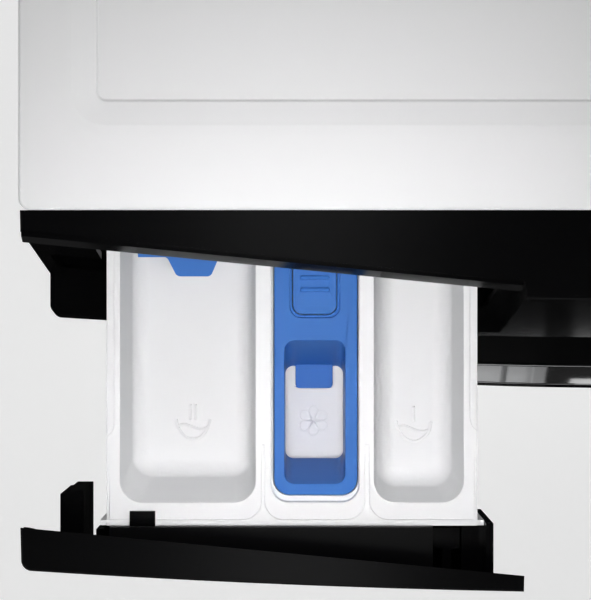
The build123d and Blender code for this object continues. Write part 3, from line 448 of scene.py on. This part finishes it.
bm = bmesh.new()
basin2 = mm([(-238.0, 92.4), (-237.1, 95.9), (-234.9, 99.4), (-232.7, 101.0), (-230.2, 101.6), (-227.3, 101.0), (-224.8, 98.9), (-223.3, 96.1), (-222.3, 92.5)])
wave2 = mm([(-236.8, 95.5), (-235.6, 95.0), (-233.7, 94.9), (-231.4, 95.6), (-229.2, 96.5), (-227.2, 97.1), (-225.3, 96.9), (-223.5, 96.2)])
ribbon(bm, smooth_path(basin2), 0.00135, 0.00045, FLOOR - 0.00005)
ribbon(bm, smooth_path(wave2), 0.00125, 0.00045, FLOOR - 0.00005)
for cx in (-231.3, -229.0):
    ribbon(bm, mm(capsule(cx, 85.4, 92.9, 0)), 0.0012, 0.00045, FLOOR - 0.00005)
bm_object("mark_main_wash", bm, MAT["tray_white"], "drawer")
bm = bmesh.new()
basin1 = mm([(-136.6, 93.2), (-135.7, 96.5), (-133.3, 100.3), (-130.7, 102.1), (-128.2, 102.7), (-125.6, 102.0), (-122.8, 99.9), (-121.3, 97.8), (-120.3, 93.6)])
wave1 = mm([(-135.4, 96.2), (-133.9, 95.6), (-132.2, 95.6), (-129.9, 96.5), (-127.7, 97.4), (-125.6, 98.0), (-123.4, 97.9), (-121.6, 97.4)])
ribbon(bm, smooth_path(basin1), 0.00135, 0.00045, FLOOR - 0.00005)
ribbon(bm, smooth_path(wave1), 0.00125, 0.00045, FLOOR - 0.00005)
ribbon(bm, mm(capsule(-128.4, 86.3, 93.6, 0)), 0.0012, 0.00045, FLOOR - 0.00005)
bm_object("mark_prewash", bm, MAT["tray_white"], "drawer")
bm = bmesh.new()
fc = Vector((-0.17475, Y(93.1)))
for i in range(6):
    an = math.radians(90 + 60 * i)
    d = Vector((math.cos(an), math.sin(an)))
    n = Vector((-d.y, d.x))
    pts = [fc + d * 0.0003]
    c = fc + d * 0.0047
    r = 0.00225
    for k in range(13):
        t = math.radians(-120 + 20 * k)
        pts.append(c + d * (r * math.cos(t)) + n * (r * math.sin(t)))
    pts.append(fc + d * 0.0003)
    ribbon(bm, [(p.x, p.y) for p in pts], 0.0007, 0.00014, FLOOR - 0.00005)
bm_object("mark_softener", bm, MAT["tray_white"], "drawer")

# printed marks of the control panel: a numbered dial, a power sign and a start and pause sign
A_TOP, LEAN, Z_TOP, BOW = 37.7, 0.154, 843.0, 9074.0
ink = plastic("printed_grey", (0.50, 0.51, 0.52), 0.5, grain=2400.0, gstrength=0.2, vary=0.05, blotch=60.0)


def on_panel(x, z, out):
    """a point that far, in millimetres, in front of the fascia's leaning and bowed face"""
    return Vector((x / 1000.0, Y(A_TOP + LEAN * (Z_TOP - z) - x * x / BOW + out), z / 1000.0))


def print_area(bm, outline):
    """thin printed patch with that outline, standing 0.05 mm proud"""
    lo = [bm.verts.new(on_panel(x, z, -0.02)) for x, z in outline]
    hi = [bm.verts.new(on_panel(x, z, 0.05)) for x, z in outline]
    k = len(outline)
    for i in range(k):
        bm.faces.new((lo[i], lo[(i + 1) % k], hi[(i + 1) % k], hi[i]))
    bm.faces.new(hi)
    bm.faces.new(list(reversed(lo)))


def print_line(bm, pts, width):
    """flat printed line through points of the panel, with pointed ends"""
    k = len(pts)
    left, right = [], []
    for i, p in enumerate(pts):
        a, b = pts[max(0, i - 1)], pts[min(k - 1, i + 1)]
        d = Vector((b[0] - a[0], b[1] - a[1])).normalized()
        n = Vector((-d.y, d.x)) * (width / 2)
        left.append((p[0] + n.x, p[1] + n.y))
        right.append((p[0] - n.x, p[1] - n.y))
    d = Vector((pts[-1][0] - pts[-2][0], pts[-1][1] - pts[-2][1])).normalized() * width * 0.4
    e = Vector((pts[0][0] - pts[1][0], pts[0][1] - pts[1][1])).normalized() * width * 0.4
    print_area(bm, left + [(pts[-1][0] + d.x, pts[-1][1] + d.y)] + list(reversed(right)) + [(pts[0][0] + e.x, pts[0][1] + e.y)])


def arc(cx, cz, r, t0, t1, n=28):
    return [(cx + r * math.cos(math.radians(t0 + (t1 - t0) * i / n)), cz + r * math.sin(math.radians(t0 + (t1 - t0) * i / n))) for i in range(n + 1)]


bm = bmesh.new()
for i in range(24):
    t = math.radians(90 - 15 * i)
    r0, r1, w = (27.6, 30.6, 0.7) if i % 2 == 0 else (27.6, 29.2, 0.45)
    print_line(bm, [(14.0 + r * math.cos(t), 790.0 + r * math.sin(t)) for r in (r0, (r0 + r1) / 2, r1)], w)
bm_object("print_dial", bm, ink, "cabinet")
bm = bmesh.new()
print_line(bm, arc(-36.0, 808.0, 3.1, 125, 415), 0.6)
print_line(bm, [(-36.0, 808.6), (-36.0, 810.3), (-36.0, 812.2)], 0.6)
bm_object("print_power", bm, ink, "cabinet")
bm = bmesh.new()
print_area(bm, [(227.6, 807.2), (227.6, 813.2), (232.4, 810.2)])
print_line(bm, [(234.6, 807.6), (234.6, 810.2), (234.6, 812.8)], 1.2)
print_line(bm, [(237.2, 807.6), (237.2, 810.2), (237.2, 812.8)], 1.2)
bm_object("print_start", bm, ink, "cabinet")


def numerals(name, body, items, size):
    """flat printed numbers, each (text, x, z) centred on its place on the panel"""
    bm = bmesh.new()
    for text, x, z in items:
        cu = bpy.data.curves.new("numeral", "FONT")
        cu.body = text
        cu.size = size
        cu.align_x = "CENTER"
        cu.align_y = "CENTER"
        cu.resolution_u = 4
        o = bpy.data.objects.new("numeral", cu)
        bpy.context.scene.collection.objects.link(o)
        bpy.context.view_layer.update()
        me = bpy.data.meshes.new_from_object(o)
        for poly in me.polygons:
            bm.faces.new([bm.verts.new(on_panel(x + me.vertices[v].co.x, z + me.vertices[v].co.y, 0.05)) for v in poly.vertices])
        bpy.data.objects.remove(o)
        bpy.data.meshes.remove(me)
        bpy.data.curves.remove(cu)
    bmesh.ops.remove_doubles(bm, verts=bm.verts, dist=1e-6)
    return bm_object(name, bm, ink, body)


numerals("print_numbers", "cabinet",
         [(str(i or 12), 14.0 + 35.0 * math.cos(math.radians(90 - 30 * i)), 790.0 + 34.5 * math.sin(math.radians(90 - 30 * i))) for i in range(12)], 5.6)

# ledge inside the drawer front, behind its top edge
def ledge(x0, x1, n=12):
    bm = bmesh.new()
    rings = []
    for i in range(n + 1):
        x = x0 + (x1 - x0) * i / n
        back = 135.7
        ahead = 123.3 + 9.03 + 0.0984 * (x + 296.7) + 4.5
        prof = [(back, 819.2), (back, 820.5), (ahead, 820.5), (ahead, 819.2)]
        rings.append([bm.verts.new((x / 1000.0, Y(a), z / 1000.0)) for a, z in prof])
    for a, b in zip(rings, rings[1:]):
        for j in range(4):
            bm.faces.new((a[j], a[(j + 1) % 4], b[(j + 1) % 4], b[j]))
    bm.faces.new(list(reversed(rings[0])))
    bm.faces.new(rings[-1])
    o = bm_object("drawer_front_ledge", bm, MAT["satin_black"], "drawer")
    for p in o.data.polygons:
        p.use_smooth = False


ledge(-263.5, -123.5)

# ------------------------------------------------------------------ stage, lights, camera
cam = bpy.data.cameras.new("camera")
cam.lens = 110.58
cam.sensor_width = 36.0
cam.clip_start = 0.01
cam.clip_end = 60.0
co = bpy.data.objects.new("camera", cam)
co.location = (-0.1829, -0.2905, 1.618)
co.rotation_euler = (0.0, 0.0, 0.0)
bpy.context.scene.collection.objects.link(co)
bpy.context.scene.camera = co

fm, nt, b = new_mat("floor_pale")
n = noise(nt, 3.0, 2.0)
r = ramp(nt, n.outputs["Fac"], [(0.3, (0.62, 0.62, 0.62)), (0.7, (0.63, 0.63, 0.63))])
nt.links.new(r.outputs["Color"], b.inputs["Base Color"])
b.inputs["Roughness"].default_value = 0.95
b.inputs["Specular IOR Level"].default_value = 0.1
nt.links.new(r.outputs["Color"], b.inputs["Emission Color"])
b.inputs["Emission Strength"].default_value = 0.91
bpy.ops.mesh.primitive_plane_add(size=40.0, location=(0, 0, -0.0005))
floor = bpy.context.object
floor.name = "floor"
floor.data.materials.append(fm)
floor.visible_glossy = False

world = bpy.data.worlds.new("studio")
bpy.context.scene.world = world
world.use_nodes = True
wt = world.node_tree
bg = wt.nodes["Background"]
tc = wt.nodes.new("ShaderNodeTexCoord")
sp = wt.nodes.new("ShaderNodeSeparateXYZ")
wt.links.new(tc.outputs["Generated"], sp.inputs["Vector"])
up = wt.nodes.new("ShaderNodeMapRange")
up.inputs["From Min"].default_value = -1.0
wt.links.new(sp.outputs["Z"], up.inputs["Value"])
wr = ramp(wt, up.outputs["Result"], [(0.5 + 0.5 * z, (v, v, v)) for z, v in
                                     ((-1.0, 0.01), (-0.8, 0.01), (-0.6, 0.25), (-0.05, 0.3), (0.12, 0.3), (0.3, 0.8), (0.64, 0.8), (0.70, 0.3), (0.95, 0.04))])
wt.links.new(wr.outputs["Color"], bg.inputs["Color"])
bg.inputs["Strength"].default_value = 0.45


def area(name, loc, target, size, power, size_y=None, spread=180.0):
    l = bpy.data.lights.new(name, "AREA")
    l.energy = power
    l.size = size
    if size_y:
        l.shape = "RECTANGLE"
        l.size_y = size_y
    l.spread = math.radians(spread)
    o = bpy.data.objects.new(name, l)
    o.location = loc
    o.rotation_euler = (Vector(target) - Vector(loc)).to_track_quat("-Z", "Y").to_euler()
    bpy.context.scene.collection.objects.link(o)
    return o


key = area("key", (-0.183, -0.335, 1.13), (-0.183, -0.335, 0.8), 0.10, 0.77)
pool = area("pool", (-0.183, -0.372, 2.45), (-0.183, -0.348, 0.85), 0.18, 0.072, spread=15)
sides = [area("fill_left", (-2.4, -1.2, 2.6), (0, 0, 0.5), 1.5, 2.2), area("fill_right", (2.4, -1.2, 2.6), (0, 0, 0.5), 1.5, 2.2),
         area("fill_back", (0.2, 2.6, 2.8), (0, 0, 0.5), 1.6, 15.0),
         area("fill_front", (-0.9, -3.4, 1.1), (0, 0, 0.45), 1.8, 20.0)]
for lamp in [key, pool] + sides:
    lamp.visible_glossy = False
    lamp.visible_camera = False
cards = [area("card", (-0.183, -0.85, 2.4), (-0.183, -0.27, 0.84), 0.22, 0.016, size_y=0.34, spread=90),
         area("card_front", (-0.183, -1.30, 2.4), (-0.183, -0.41, 0.84), 0.24, 0.031, size_y=0.34, spread=90),
         area("card_low", (-0.183, -0.59, 2.4), (-0.183, -0.39, 0.82), 0.32, 0.030, size_y=0.22, spread=90)]
for lamp in cards:
    lamp.visible_diffuse = False
    lamp.visible_camera = False

sc = bpy.context.scene
sc.view_settings.view_transform = "Standard"
sc.view_settings.look = "None"
sc.view_settings.exposure = 0.0
sc.view_settings.gamma = 1.0
